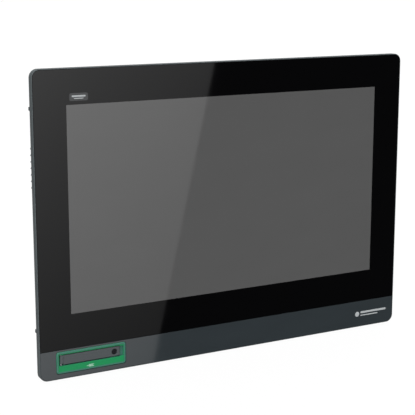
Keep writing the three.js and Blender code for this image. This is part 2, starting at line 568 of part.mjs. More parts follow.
function portCutouts() {
  const low = BOX.z0 - 1;
  const high = BOX.z0 + BOX.wall + 0.5;
  const slot = (x, half, tall) => block(x - half, x + half, portY - GAP, portY + tall + GAP, low, high);
  return [
    slot(PORTS.power, 8.9, 12.4),
    ...PORTS.ethernet.map((x) => slot(x, 8.3, 13.4)),
    ...PORTS.usb.map((x) => slot(x, 6.85, 5.7)),
    ...PORTS.serial.flatMap((x) => [
      prism(dShape(9.3, 8.1, 1.4, 11.4, 1.7), 'z', low, high).translate([x, portY, 0]),
      ...SERIAL_JACK_SCREWS.map((dx) => rod('z', x + dx, portY + 6.4, low, high, 3.1, 12)),
    ]),
  ];
}

function controlBox() {
  const shell = softPlate(outline(-BOX.x, BOX.x, BOX.z0, BOX.z1, 2.5), BOX.y0, BOX.y1,
    BOX.round, 'rear', 2);
  const hollow = prism(outline(-BOX.x + BOX.wall, BOX.x - BOX.wall, BOX.z0 + BOX.wall,
    BOX.z1 - BOX.wall, 1), 'y', BOX.y0 - 1, boxBackInner, 2);
  const feet = BOX_FEET.map(([x, z]) => {
    const side = Math.sign(x);
    return block(Math.min(x + side * 6, side * (BOX.x - 1)), Math.max(x + side * 6, side * (BOX.x - 1)),
      BOX.y0, BOX.y0 + BOX.wall, z - 7, z + 7);
  });
  const footHoles = BOX_FEET.map(([x, z]) => rod('y', x, z, BOX.y0 - 1, BOX.y0 + 3, 2.4, 12));
  const boardPosts = BOARD_POSTS.map(([x, z]) => rod('y', x, z, portY, boxBackInner + 0.5, 2.8, 10));
  const ears = [[FLAP.z0 - 3, FLAP.z0 - GAP], [FLAP.z1 + GAP, FLAP.z1 + 3]].map(([z0, z1]) =>
    block(BOX.x - 0.5, FLAP.axisX + 1.3, FLAP.axisY - 1.3, FLAP.axisY + 1.3, z0, z1));
  const earBore = rod('z', FLAP.axisX, FLAP.axisY, FLAP.z0 - 2.6, FLAP.z1 + 2.6, FLAP.pin + GAP, 12);
  const flapOpening = block(BOX.x - 3, BOX.x + 1, FLAP_OPENING.y0, FLAP_OPENING.y1,
    FLAP_OPENING.z0, FLAP_OPENING.z1);
  const sinkOpening = block(-PEDESTAL.x - 1, PEDESTAL.x + 1, boxBackInner - 1, BOX.y1 + 1,
    PEDESTAL.z0 - 1, PEDESTAL.z1 + 1);
  const vents = [];
  for (let column = 0; column < 17; column += 1) {
    const x = (column - 8) * 12;
    vents.push(block(x - 4, x + 4, 38, 41, BOX.z1 - 2, BOX.z1 + 1));
    vents.push(block(x - 4, x + 4, 43.5, 46.5, BOX.z1 - 2, BOX.z1 + 1));
  }
  for (let row = 0; row < 9; row += 1) {
    const z = -70 + row * 12;
    vents.push(block(-BOX.x - 1, -BOX.x + 2, 38, 46, z, z + 3));
  }
  return cut(join(cut(shell, hollow), ...feet, ...boardPosts, ...ears),
    ...footHoles, earBore, flapOpening, sinkOpening, ...vents, ...portCutouts());
}

function heatSink() {
  const parts = [block(-PEDESTAL.x, PEDESTAL.x, boardBack + 10.4, sinkY + 0.5,
    PEDESTAL.z0, PEDESTAL.z1)];
  const pitch = (2 * SINK.x - SINK.fin) / (SINK.fins - 1);
  for (let fin = 0; fin < SINK.fins; fin += 1) {
    const x = -SINK.x + fin * pitch;
    parts.push(block(x, x + SINK.fin, sinkY + SINK.base - 0.2, SINK.back, SINK.z0, SINK.z1));
  }
  return join(block(-SINK.x, SINK.x, sinkY, sinkY + SINK.base, SINK.z0, SINK.z1), ...parts);
}

function mainBoard() {
  const board = block(-BOARD.x, BOARD.x, BOARD.y0, boardBack, BOARD.z0, BOARD.z1);
  const inductors = [-84, -66].map((x) => block(x - 6, x + 6, boardBack - 0.1, boardBack + 6, -62, -50));
  const capacitors = [-92, -80, -68].map((x) => rod('y', x, -40, boardBack - 0.1, boardBack + 9, 4, 12));
  const chips = [[44, 20, 8], [66, -10, 6], [44, -40, 7], [-44, -44, 6]].map(([x, z, half]) =>
    block(x - half, x + half, boardBack - 0.1, boardBack + 1.5, z - half, z + half));
  return join(board, ...inductors, ...capacitors, ...chips);
}

function memoryModule() {
  const board = block(-34, 34, boardBack + 4, boardBack + 5.2, 14, 44);
  const chips = [-24, -8, 8, 24].map((x) => block(x - 6, x + 6, boardBack + 5.1, boardBack + 6.4, 22, 34));
  const edge = block(-33, 33, boardBack + GAP, boardBack + 4.1, 10, 17);
  return join(board, edge, ...chips);
}

function cardCover() {
  const plate = block(BOX.x + 0.4, BOX.x + 1.9, FLAP.y0, FLAP.axisY, FLAP.z0, FLAP.z1);
  const barrel = rod('z', FLAP.axisX, FLAP.axisY, FLAP.z0, FLAP.z1, FLAP.barrel, 14);
  const grip = block(BOX.x + 1.5, BOX.x + 3.3, FLAP.y0, FLAP.y0 + 1.5, -48, -32);
  const ridges = [0, 1, 2].map((row) => block(BOX.x + 1.5, BOX.x + 2.3, FLAP.y0 + 3 + row * 2.2,
    FLAP.y0 + 4 + row * 2.2, -50, -30));
  const bore = rod('z', FLAP.axisX, FLAP.axisY, FLAP.z0 - 1, FLAP.z1 + 1, FLAP.pin + GAP, 12);
  return cut(join(plate, barrel, grip, ...ridges), bore);
}

piece('control_box', controlBox(), ZINC);
BOX_FEET.forEach(([x, z], index) => {
  piece(`box_screw_${index + 1}`, panScrew(3.8, 2.6, 1.95, 8), STEEL,
    [x, BOX.y0 + BOX.wall + GAP, z]);
});
piece('heat_sink', heatSink(), ALUMINIUM);
piece('main_board', mainBoard(), CIRCUIT);
piece('processor', block(-15, 15, portY, portY + 2.4, -35, -5), CHIP);
piece('heat_spreader', block(-17, 17, portY + 2.7, boardBack + 10.1, -37, -3), ALUMINIUM);
piece('memory_module', memoryModule(), CIRCUIT);
piece('power_module', block(-104, -56, portY, portY + 9.5, -18, 28), CHIP);
piece('battery_holder', cut(block(70, 94, portY, portY + 5, 16, 40),
  rod('y', 82, 28, portY + 1, portY + 6, 10.4, 24)), BLACK_PLASTIC);
piece('battery', rod('y', 82, 28, portY + 1.3, portY + 4.5, 10, 24), STEEL);

const CARD = { x0: 85, x1: 117, y0: portY + 1.4, thick: 2.1, z0: -53, z1: -29 };
piece('card_socket', cut(block(88, 114.5, portY, portY + 4.2, CARD.z0 - 2, CARD.z1 + 2),
  block(84, 118, CARD.y0 - GAP, CARD.y0 + CARD.thick + GAP, CARD.z0 - GAP, CARD.z1 + GAP)), STEEL);
piece('storage_card', block(CARD.x0 + 3.5, CARD.x1, CARD.y0, CARD.y0 + CARD.thick, CARD.z0, CARD.z1),
  BLACK_PLASTIC);
piece('card_cover', cardCover(), BLACK_PLASTIC);
piece('card_cover_pin',
  rod('z', FLAP.axisX, FLAP.axisY, FLAP.z0 - 2.3, FLAP.z1 + 2.3, FLAP.pin, 12), STEEL);

// ---------------------------------------------------------------- ports under the box
PORTS.ethernet.forEach((x, index) => {
  piece(`ethernet_jack_${index + 1}`, ethernetJack(), STEEL, [x, portY, BOX.z0 - 0.4]);
});
PORTS.usb.forEach((x, index) => {
  piece(`rear_usb_socket_${index + 1}`, usbSocket(), STEEL, [x, portY, BOX.z0 - 0.4]);
});
PORTS.serial.forEach((x, index) => {
  piece(`serial_port_${index + 1}`, serialPort(), ZINC, [x, portY, BOX.z0]);
});
piece('power_header', powerHeader(), BLACK_PLASTIC, [PORTS.power, portY, BOX.z0 - 0.4]);
piece('power_plug', powerPlug(), PLUG_GREEN, [PORTS.power, portY, BOX.z0 - 0.4]);
POLES.forEach((dx, index) => {
  piece(`terminal_screw_${index + 1}`, terminalScrew(), STEEL,
    [PORTS.power + dx, portY, BOX.z0 - 0.4 + PLUG_SCREW.z]);
});

// ---------------------------------------------------------------- internal wiring
function lead(points, section, steps) {
  const path = new THREE.CatmullRomCurve3(points.map((point) => new THREE.Vector3(...point)));
  const body = new THREE.ExtrudeGeometry(section, {
    steps, extrudePath: path, bevelEnabled: false, curveSegments: 2 });
  return solid(body);
}

function roundSection(radius, sides) {
  const turn = (index) => (index / sides) * 2 * Math.PI;
  return new THREE.Shape(Array.from({ length: sides }, (_, index) => new THREE.Vector2(
    radius * Math.cos(turn(index)), radius * Math.sin(turn(index)))));
}

const panBack = panFront + LAYERS.pan;
const ribbonStart = panBack + GAP;
piece('display_ribbon', lead([[40, ribbonStart, 0], [40, ribbonStart + 2, 0], [40, 11, -3],
  [40, 15, -20], [40, 20, -36], [40, 28, -40], [40, BOARD.y0 - 2, -40],
  [40, BOARD.y0 - GAP, -40]], outline(-9, 9, -0.3, 0.3, 0), 24), finish(0xd8c08a, 0.5));
const leadStart = frontBoard.y0 + frontBoard.thick + GAP;
piece('front_usb_lead', lead([[-148, leadStart, -124], [-148, leadStart + 1.6, -124],
  [-147, 24.2, -118], [-138, 24.5, -102], [-112, 24.5, -84], [-88, 24.5, -64], [-79, 26, -52],
  [-76, 30, -48], [-76, BOARD.y0 - GAP, -48]], roundSection(1.6, 6), 26), BLACK_PLASTIC);

export default panel;
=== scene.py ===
"""The looks of a panel-mounted operator screen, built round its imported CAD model.

Everything is in metres in the CAD's frame: the origin is the middle of the cut-out, in the plane
where the flange meets the cabinet, +X is to the viewer's right, +Y goes into the cabinet, +Z is up.
"""
import json
import math

import bmesh
import bpy
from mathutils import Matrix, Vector


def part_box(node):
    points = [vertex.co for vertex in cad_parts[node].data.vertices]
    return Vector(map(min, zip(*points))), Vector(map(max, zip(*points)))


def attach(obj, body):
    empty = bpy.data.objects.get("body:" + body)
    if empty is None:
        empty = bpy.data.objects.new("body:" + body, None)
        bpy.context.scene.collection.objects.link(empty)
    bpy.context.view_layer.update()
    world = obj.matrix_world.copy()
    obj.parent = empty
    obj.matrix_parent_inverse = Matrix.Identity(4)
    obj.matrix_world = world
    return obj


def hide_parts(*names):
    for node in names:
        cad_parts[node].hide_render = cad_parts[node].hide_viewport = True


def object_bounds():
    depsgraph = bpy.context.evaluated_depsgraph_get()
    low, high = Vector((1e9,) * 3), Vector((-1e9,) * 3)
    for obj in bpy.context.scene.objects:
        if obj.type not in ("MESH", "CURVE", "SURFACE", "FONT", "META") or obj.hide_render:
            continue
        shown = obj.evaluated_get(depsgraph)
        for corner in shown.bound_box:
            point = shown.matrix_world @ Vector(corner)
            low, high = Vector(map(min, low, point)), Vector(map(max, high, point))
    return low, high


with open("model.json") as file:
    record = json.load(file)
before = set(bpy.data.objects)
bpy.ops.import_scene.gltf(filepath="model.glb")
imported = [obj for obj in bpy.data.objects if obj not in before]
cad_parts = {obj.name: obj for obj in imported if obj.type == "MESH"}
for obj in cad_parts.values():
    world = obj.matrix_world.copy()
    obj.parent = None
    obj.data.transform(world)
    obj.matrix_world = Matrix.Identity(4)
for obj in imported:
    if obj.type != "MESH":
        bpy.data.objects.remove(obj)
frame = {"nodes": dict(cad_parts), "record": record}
cad_low, cad_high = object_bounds()

MM = 0.001

# The corners of the CAD pieces that the added ones are placed by
BEZEL_LOW, BEZEL_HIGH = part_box("front_bezel")
GLASS_LOW, GLASS_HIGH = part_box("touch_glass")
BAND_LOW, BAND_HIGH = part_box("lower_band")
GREEN_LOW, GREEN_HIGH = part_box("usb_surround")
PLATE_LOW, PLATE_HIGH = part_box("rating_plate")
FRONT = GLASS_LOW.y          # the plane of the glass and the band


# ---------------------------------------------------------------- material building blocks

COAT_ROUGHNESS = 0.05


def new_material(name, colour, roughness, metallic=0.0, ior=1.5, coat=0.0):
    """A material with one Principled surface, its constants set on the shader's own sockets."""
    material = bpy.data.materials.new(name)
    material.use_nodes = True
    tree = material.node_tree
    surface = tree.nodes["Principled BSDF"]
    surface.inputs["Base Color"].default_value = (*colour, 1.0)
    surface.inputs["Roughness"].default_value = roughness
    surface.inputs["Metallic"].default_value = metallic
    surface.inputs["IOR"].default_value = ior
    surface.inputs["Coat Weight"].default_value = coat
    surface.inputs["Coat Roughness"].default_value = COAT_ROUGHNESS
    return material, tree, surface


def place(tree, stretch=(1, 1, 1)):
    """The point being shaded, in metres in the object's frame, with each axis stretched."""
    here = tree.nodes.new("ShaderNodeTexCoord")
    mapping = tree.nodes.new("ShaderNodeMapping")
    mapping.inputs["Scale"].default_value = stretch
    tree.links.new(here.outputs["Object"], mapping.inputs["Vector"])
    return mapping.outputs["Vector"]


def noise(tree, grain, detail=2.0, stretch=(1, 1, 1)):
    """Noise whose blobs are about grain metres across."""
    texture = tree.nodes.new("ShaderNodeTexNoise")
    texture.inputs["Scale"].default_value = 1 / grain
    texture.inputs["Detail"].default_value = detail
    tree.links.new(place(tree, stretch), texture.inputs["Vector"])
    return texture.outputs["Fac"]


def cells(tree, grain):
    """A random value for each cell, cells being about grain metres across."""
    texture = tree.nodes.new("ShaderNodeTexVoronoi")
    texture.inputs["Scale"].default_value = 1 / grain
    tree.links.new(place(tree), texture.inputs["Vector"])
    split = tree.nodes.new("ShaderNodeSeparateColor")
    tree.links.new(texture.outputs["Color"], split.inputs["Color"])
    return split.outputs["Red"]


def spread(tree, value, low, high, start=0.3, end=0.7):
    """value carried from the range start..end to low..high."""
    node = tree.nodes.new("ShaderNodeMapRange")
    for socket, number in (("From Min", start), ("From Max", end), ("To Min", low), ("To Max", high)):
        node.inputs[socket].default_value = number
    tree.links.new(value, node.inputs["Value"])
    return node.outputs["Result"]


def blend_colours(tree, value, dark, light, start=0.3, end=0.7):
    """A colour that goes from dark to light as value goes from start to end."""
    ramp = tree.nodes.new("ShaderNodeValToRGB")
    ramp.color_ramp.elements[0].position = start
    ramp.color_ramp.elements[0].color = (*dark, 1.0)
    ramp.color_ramp.elements[1].position = end
    ramp.color_ramp.elements[1].color = (*light, 1.0)
    tree.links.new(value, ramp.inputs["Fac"])
    return ramp.outputs["Color"]


def relief(tree, surface, value, height):
    """Raises the surface by up to height metres where value is high."""
    bump = tree.nodes.new("ShaderNodeBump")
    bump.inputs["Strength"].default_value = 1.0
    bump.inputs["Distance"].default_value = height
    tree.links.new(value, bump.inputs["Height"])
    tree.links.new(bump.outputs["Normal"], surface.inputs["Normal"])


def tinted(colour, share):
    """The colour, lighter or darker by a share."""
    return tuple(min(1.0, c * share) for c in colour)


# ---------------------------------------------------------------- the finishes

def painted(name, colour, roughness, grain, height, drift=0.06):
    """Sprayed paint: the colour drifts a little over centimetres, and the skin has fine orange peel."""
    patch = 45 * MM
    smear = 12 * MM
    rub_range = 0.05
    material, tree, surface = new_material(name, colour, roughness)
    broad = noise(tree, patch, detail=3.0)
    shade = blend_colours(tree, broad, tinted(colour, 1 - drift), tinted(colour, 1 + drift))
    tree.links.new(shade, surface.inputs["Base Color"])
    skin = noise(tree, grain, detail=3.0)
    rubbed = noise(tree, smear, detail=4.0)
    rub = spread(tree, rubbed, roughness - rub_range, roughness + rub_range)
    tree.links.new(rub, surface.inputs["Roughness"])
    relief(tree, surface, skin, height)
    return material


def moulded(name, colour, roughness, grain=0.35 * MM, height=0.006 * MM, drift=0.05, coat=0.0):
    """Moulded plastic with a fine eroded texture, and a slight difference of sheen across it."""
    patch = 20 * MM
    smear = 8 * MM
    material, tree, surface = new_material(name, colour, roughness, coat=coat)
    broad = noise(tree, patch, detail=3.0)
    shade = blend_colours(tree, broad, tinted(colour, 1 - drift), tinted(colour, 1 + drift))
    tree.links.new(shade, surface.inputs["Base Color"])
    rubbed = noise(tree, smear, detail=4.0)
    rub = spread(tree, rubbed, roughness - 0.04, roughness + 0.06)
    tree.links.new(rub, surface.inputs["Roughness"])
    relief(tree, surface, cells(tree, grain), height)
    return material


def rimmed(name, colour, sheen_and_shade_colour, face_depth):
    """Glossy moulding, duller on its raised rim and recesses: painted sheen on the rim, shade in them.
    """
    face_roughness = 0.3
    dull_roughness = 0.5
    face_tolerance = 0.1 * MM
    grain = 0.5 * MM
    height = 0.003 * MM
    material, tree, surface = new_material(name, colour, face_roughness, ior=1.33)
    split = tree.nodes.new("ShaderNodeSeparateXYZ")
    tree.links.new(place(tree), split.inputs["Vector"])
    near_face = tree.nodes.new("ShaderNodeMath")
    near_face.operation = "COMPARE"
    near_face.inputs[1].default_value = face_depth
    near_face.inputs[2].default_value = face_tolerance
    tree.links.new(split.outputs["Y"], near_face.inputs[0])
    on_face = near_face.outputs[0]
    # Off the face the colour is painted light: a greyer green as sheen on the rim, as shade in the
    # recesses
    shade = blend_colours(tree, on_face, sheen_and_shade_colour, colour, start=0.0, end=1.0)
    tree.links.new(shade, surface.inputs["Base Color"])
    sheen = spread(tree, on_face, dull_roughness, face_roughness, start=0.0, end=1.0)
    tree.links.new(sheen, surface.inputs["Roughness"])
    relief(tree, surface, cells(tree, grain), height)
    return material


def brushed(name, colour, roughness, stretch, grain=0.5 * MM, drift=0.12):
    """Bare metal with the fine parallel lines of rolling, drawing or turning."""
    groove_depth = 0.002 * MM
    material, tree, surface = new_material(name, colour, roughness, metallic=1.0)
    lines = noise(tree, grain, 4.0, stretch)
    shade = blend_colours(tree, lines, tinted(colour, 1 - drift), tinted(colour, 1 + drift))
    tree.links.new(shade, surface.inputs["Base Color"])
    rub = spread(tree, lines, roughness - 0.07, roughness + 0.1)
    tree.links.new(rub, surface.inputs["Roughness"])
    relief(tree, surface, lines, groove_depth)
    return material


def spangled(name, colour, roughness):
    """Zinc-plated sheet: faint flakes of differing grey, with smears where it was handled."""
    flake = 3.5 * MM
    smear = 30 * MM
    ripple = 0.8 * MM
    ripple_height = 0.004 * MM
    material, tree, surface = new_material(name, colour, roughness, metallic=1.0)
    flakes = cells(tree, flake)
    shade = blend_colours(tree, flakes, tinted(colour, 0.9), tinted(colour, 1.08), start=0.0, end=1.0)
    tree.links.new(shade, surface.inputs["Base Color"])
    smears = spread(tree, noise(tree, smear, detail=5.0), roughness - 0.08, roughness + 0.12)
    tree.links.new(smears, surface.inputs["Roughness"])
    relief(tree, surface, noise(tree, ripple, detail=3.0), ripple_height)
    return material


def glossy(name, colour, roughness, ior, drift=0.04):
    """A flat gloss front, with a faint unevenness where hands have wiped it."""
    wipe = 60 * MM
    material, tree, surface = new_material(name, colour, roughness, ior=ior)
    wipes = noise(tree, wipe, detail=4.0, stretch=(1, 1, 2.5))
    shade = blend_colours(tree, wipes, tinted(colour, 1 - drift), tinted(colour, 1 + drift))
    tree.links.new(shade, surface.inputs["Base Color"])
    tree.links.new(spread(tree, wipes, roughness, roughness + 0.02), surface.inputs["Roughness"])
    return material


def rubbery(name, colour):
    """Soft black rubber with a dull bloom in patches."""
    patch = 9 * MM
    pore = 0.4 * MM
    pore_depth = 0.01 * MM
    material, tree, surface = new_material(name, colour, 0.8)
    bloom = noise(tree, patch, detail=5.0)
    shade = blend_colours(tree, bloom, tinted(colour, 0.8), tinted(colour, 1.9))
    tree.links.new(shade, surface.inputs["Base Color"])
    relief(tree, surface, noise(tree, pore, detail=2.0), pore_depth)
    return material


def solder_masked(name, colour):
    """A circuit board's green mask, with raised copper tracks a little lighter than the ground."""
    brick_unit = 4.5 * MM        # bricks are half of this wide, and their rows a quarter of it apart
    joint_share = 0.04           # half the width of the joints between them, as a share of brick_unit
    track_height = 0.03 * MM     # the joints are the tracks
    material, tree, surface = new_material(name, colour, 0.3)
    tracks = tree.nodes.new("ShaderNodeTexBrick")
    tracks.inputs["Scale"].default_value = 1 / brick_unit
    tracks.inputs["Mortar Size"].default_value = joint_share
    tracks.inputs["Color1"].default_value = (0, 0, 0, 1)
    tracks.inputs["Color2"].default_value = (0, 0, 0, 1)
    tracks.inputs["Mortar"].default_value = (1, 1, 1, 1)
    turn = tree.nodes.new("ShaderNodeMapping")
    turn.inputs["Rotation"].default_value = (math.pi / 2, 0, 0)
    tree.links.new(place(tree), turn.inputs["Vector"])
    tree.links.new(turn.outputs["Vector"], tracks.inputs["Vector"])
    value = tracks.outputs["Fac"]
    shade = blend_colours(tree, value, colour, tinted(colour, 1.7), start=0.1, end=0.9)
    tree.links.new(shade, surface.inputs["Base Color"])
    relief(tree, surface, value, track_height)
    return material


def striped(name, colour, pitch):
    """A flat cable: darker stripes every pitch metres, where conductors show through amber film."""
    wave_radians = 20            # a Wave texture of scale 1 goes through this many in one unit
    ridge = 0.03 * MM
    material, tree, surface = new_material(name, colour, 0.35)
    stripes = tree.nodes.new("ShaderNodeTexWave")
    stripes.bands_direction = "X"
    stripes.inputs["Scale"].default_value = math.tau / (wave_radians * pitch)
    tree.links.new(place(tree), stripes.inputs["Vector"])
    value = stripes.outputs["Fac"]
    shade = blend_colours(tree, value, tinted(colour, 0.5), colour)
    tree.links.new(shade, surface.inputs["Base Color"])
    relief(tree, surface, value, ridge)
    return material


# Linear colours, chosen to look like the photograph's. The housing's, which it hides, is a guess.
SLATE = (0.060, 0.072, 0.076)
HOUSING = (0.050, 0.060, 0.065)
FLAP = (0.055, 0.064, 0.068)
GREEN = (0.008, 0.235, 0.078)
# The surround's green off its face: painted sheen on the raised rim, painted shade in the recesses
PAINTED_SHEEN_AND_SHADE_GREEN = (0.045, 0.160, 0.118)

# The finish of each material slot of the CAD model
FINISHES = {
    "slate_paint": painted("slate_paint", SLATE, 0.42, 0.9 * MM, 0.010 * MM),
    "black_glass": glossy("black_glass", (0.0016, 0.0016, 0.0019), 0.02, 1.375),
    "flap_plastic": moulded("flap_plastic", FLAP, 0.42, 0.3 * MM, 0.004 * MM),
    "black_steel": brushed("black_steel", (0.030, 0.030, 0.034), 0.40, (1, 1, 1)),
    "band_gloss": glossy("band_gloss", (0.030, 0.0378, 0.0425), 0.03, 1.84),
    "green_plastic": rimmed("green_plastic", GREEN, PAINTED_SHEEN_AND_SHADE_GREEN, FRONT),
    "rubber": rubbery("rubber", (0.012, 0.012, 0.013)),
    "steel": brushed("steel", (0.55, 0.57, 0.58), 0.34, (1, 6, 1)),
    "tinned_shell": brushed("tinned_shell", (0.62, 0.64, 0.65), 0.26, (1, 1, 0.1)),
    "zinc_plate": spangled("zinc_plate", (0.56, 0.58, 0.59), 0.38),
    "housing_paint": painted("housing_paint", HOUSING, 0.55, 0.6 * MM, 0.030 * MM, 0.10),
    "aluminium": brushed("aluminium", (0.72, 0.73, 0.74), 0.36, (1, 1, 0.04)),
    "black_plastic": moulded("black_plastic", (0.010, 0.010, 0.011), 0.48),
    "plug_green": moulded("plug_green", (0.028, 0.275, 0.076), 0.45),
    "circuit_board": solder_masked("circuit_board", (0.012, 0.102, 0.04)),
    "chip_black": moulded("chip_black", (0.015, 0.015, 0.016), 0.60, 0.2 * MM),
    "lcd_glass": glossy("lcd_glass", (0.09, 0.095, 0.10), 0.05, 1.5),
    "optical_sheet": moulded("optical_sheet", (0.78, 0.80, 0.78), 0.50, 0.3 * MM, 0.004 * MM, 0.02),
    "ribbon": striped("ribbon", (0.62, 0.47, 0.24), 3.14 * MM),
}

# The finishes of the pieces that are added here
WINDOW_GREY = glossy("window_grey", (0.0915, 0.0915, 0.0915), 0.02, 1.5, 0.015)
PRINT_SILVER = moulded("print_silver", (0.40, 0.42, 0.43), 0.40, 0.2 * MM, 0.001 * MM, 0.03)
PRINT_GREY = glossy("print_grey", (0.036, 0.038, 0.040), 0.10, 1.45)
PRINT_GREEN = moulded("print_green", (0.30, 0.50, 0.38), 0.40, 0.2 * MM, 0.001 * MM, 0.03)
GOLD = brushed("gold", (0.80, 0.57, 0.24), 0.22, (1, 1, 0.2))
LAMP_GREEN = moulded("lamp_green", (0.10, 0.34, 0.12), 0.20, coat=0.6)
LAMP_AMBER = moulded("lamp_amber", (0.62, 0.27, 0.03), 0.20, coat=0.6)
DARK_INK = moulded("dark_ink", (0.020, 0.022, 0.024), 0.50, 0.2 * MM, 0.001 * MM)

for part in frame["record"]["subparts"]:
    for entry in frame["nodes"][part["node"]].material_slots:
        entry.material = FINISHES[part["material_slot"]]


# ---------------------------------------------------------------- mesh building blocks

CORNER_STEPS = 8
SMALLEST_RADIUS = 0.01 * MM


def corner_points(centre, radius, start):
    """Points of a quarter circle about centre, from the angle start, anticlockwise from the front."""
    angles = [start + math.pi / 2 * k / CORNER_STEPS for k in range(CORNER_STEPS + 1)]
    return [(centre[0] + radius * math.cos(a), centre[1] + radius * math.sin(a)) for a in angles]


def rounded_corners(low, high, radius):
    """The four corners of a rounded rectangle in X and Z, each a list of points, in turn."""
    (x0, z0), (x1, z1) = low, high
    centres = [(x1, z1, -1, -1), (x0, z1, 1, -1), (x0, z0, 1, 1), (x1, z0, -1, 1)]
    corners = []
    for quarter, (x, z, sx, sz) in enumerate(centres):
        centre = (x + sx * radius, z + sz * radius)
        corners.append(corner_points(centre, radius, quarter * math.pi / 2))
    return corners


def loop(mesh, points, y):
    """A closed ring of vertices at depth y."""
    return [mesh.verts.new((x, y, z)) for x, z in points]


def bridge(mesh, first, second):
    """Quads between two rings with as many points each."""
    count = len(first)
    for k in range(count):
        after = (k + 1) % count
        mesh.faces.new((first[k], first[after], second[after], second[k]))


def show(mesh, name, body, material):
    """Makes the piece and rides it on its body."""
    bmesh.ops.recalc_face_normals(mesh, faces=mesh.faces)
    data = bpy.data.meshes.new(name)
    mesh.to_mesh(data)
    mesh.free()
    piece = bpy.data.objects.new(name, data)
    bpy.context.scene.collection.objects.link(piece)
    data.materials.append(material)
    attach(piece, body)
    return piece


def add_plate(mesh, low, high, radius, front, back, edge):
    """A rounded plate facing -Y, its front edge eased by edge."""
    inner_low = (low[0] + edge, low[1] + edge)
    inner_high = (high[0] - edge, high[1] - edge)
    inner_radius = max(radius - edge, SMALLEST_RADIUS)
    outer = [p for c in rounded_corners(low, high, radius) for p in c]
    inner = [p for c in rounded_corners(inner_low, inner_high, inner_radius) for p in c]
    rear = loop(mesh, outer, back)
    side = loop(mesh, outer, front + edge)
    face = loop(mesh, inner, front)
    bridge(mesh, rear, side)
    bridge(mesh, side, face)
    mesh.faces.new(face)
    mesh.faces.new(list(reversed(rear)))


# ---------------------------------------------------------------- the glass front

WINDOW_WIDTH = 347.9 * MM
WINDOW_HEIGHT = 198.4 * MM
WINDOW_RISE = 14.6 * MM
GLASS_CORNER = 7.0 * MM
GLASS_EDGE = 0.15 * MM       # how far the glass's front edge is eased
WINDOW_GAP = 0.02 * MM       # between the window and the border round it
WINDOW_LOW = (-WINDOW_WIDTH / 2, WINDOW_RISE - WINDOW_HEIGHT / 2)
WINDOW_HIGH = (WINDOW_WIDTH / 2, WINDOW_RISE + WINDOW_HEIGHT / 2)


def glass_outline(inset):
    """The glass seen from the front: round at the top, square at the bottom, as four corner lists."""
    x0, x1 = GLASS_LOW.x + inset, GLASS_HIGH.x - inset
    z0, z1 = GLASS_LOW.z + inset, GLASS_HIGH.z - inset
    corners = rounded_corners((x0, z0), (x1, z1), GLASS_CORNER - inset)
    return [corners[0], corners[1], [(x0, z0)], [(x1, z0)]]


def make_glass_border():
    """The black printed border: a ring of glass round the window."""
    mesh = bmesh.new()
    (x0, z0), (x1, z1) = WINDOW_LOW, WINDOW_HIGH
    hole = [(x1, z1), (x0, z1), (x0, z0), (x1, z0)]
    face_corners = [loop(mesh, corner, FRONT) for corner in glass_outline(GLASS_EDGE)]
    side = loop(mesh, [p for c in glass_outline(0.0) for p in c], FRONT + GLASS_EDGE)
    rear_corners = [loop(mesh, corner, GLASS_HIGH.y) for corner in glass_outline(0.0)]
    for corners, depth in ((face_corners, FRONT), (rear_corners, GLASS_HIGH.y)):
        inner = loop(mesh, hole, depth)
        for k, corner in enumerate(corners):
            after = (k + 1) % 4
            for a, b in zip(corner, corner[1:]):
                mesh.faces.new((a, b, inner[k]))
            mesh.faces.new((corner[-1], corners[after][0], inner[after], inner[k]))
        if depth == FRONT:
            front_hole = inner
        else:
            bridge(mesh, front_hole, inner)
    bridge(mesh, [v for c in face_corners for v in c], side)
    bridge(mesh, side, [v for c in rear_corners for v in c])
    border = show(mesh, "glass_border", "panel", FINISHES["black_glass"])
    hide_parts("touch_glass")


def make_display_window():
    """The grey screen area, flush with the border and dark as when switched off."""
    corner = 0.2 * MM
    edge = 0.02 * MM
    low = (WINDOW_LOW[0] + WINDOW_GAP, WINDOW_LOW[1] + WINDOW_GAP)
    high = (WINDOW_HIGH[0] - WINDOW_GAP, WINDOW_HIGH[1] - WINDOW_GAP)
    mesh = bmesh.new()
    add_plate(mesh, low, high, corner, FRONT, GLASS_HIGH.y, edge)
    window = show(mesh, "display_window", "panel", WINDOW_GREY)
    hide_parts("touch_glass")


make_glass_border()
make_display_window()


# ---------------------------------------------------------------- printed marks

PRINT_PROUD = 0.03 * MM      # how far a print stands out of the surface that it is on
PRINT_SUNK = 0.2 * MM        # how far it reaches into that surface
PRINT_EDGE = 0.005 * MM      # how far its front edge is eased


def add_mark(mesh, centre, size, radius, front):
    """A small printed patch, its middle at centre, standing just proud of the surface at front."""
    low = (centre[0] - size[0] / 2, centre[1] - size[1] / 2)
    high = (centre[0] + size[0] / 2, centre[1] + size[1] / 2)
    add_plate(mesh, low, high, radius, front - PRINT_PROUD, front + PRINT_SUNK, PRINT_EDGE)


def make_badge():
    """The small nameplate in the top left corner of the border, left blank but for plain bars."""
    size = (18.6 * MM, 7.2 * MM)
    corner = 1.8 * MM
    bar_corner = 0.3 * MM
    bars = ((0.7 * MM, 13.5 * MM, 1.4 * MM), (-1.4 * MM, 9.5 * MM, 0.7 * MM))
    centre_x = BEZEL_LOW.x + 45.5 * MM
    centre_z = BEZEL_HIGH.z - 26.7 * MM
    mesh = bmesh.new()
    add_mark(mesh, (centre_x, centre_z), size, corner, FRONT)
    show(mesh, "border_badge", "panel", PRINT_GREY)
    mesh = bmesh.new()
    for rise, width, height in bars:
        middle = (centre_x, centre_z + rise)
        add_mark(mesh, middle, (width, height), bar_corner, FRONT - PRINT_PROUD)
    show(mesh, "badge_bars", "panel", PRINT_SILVER)


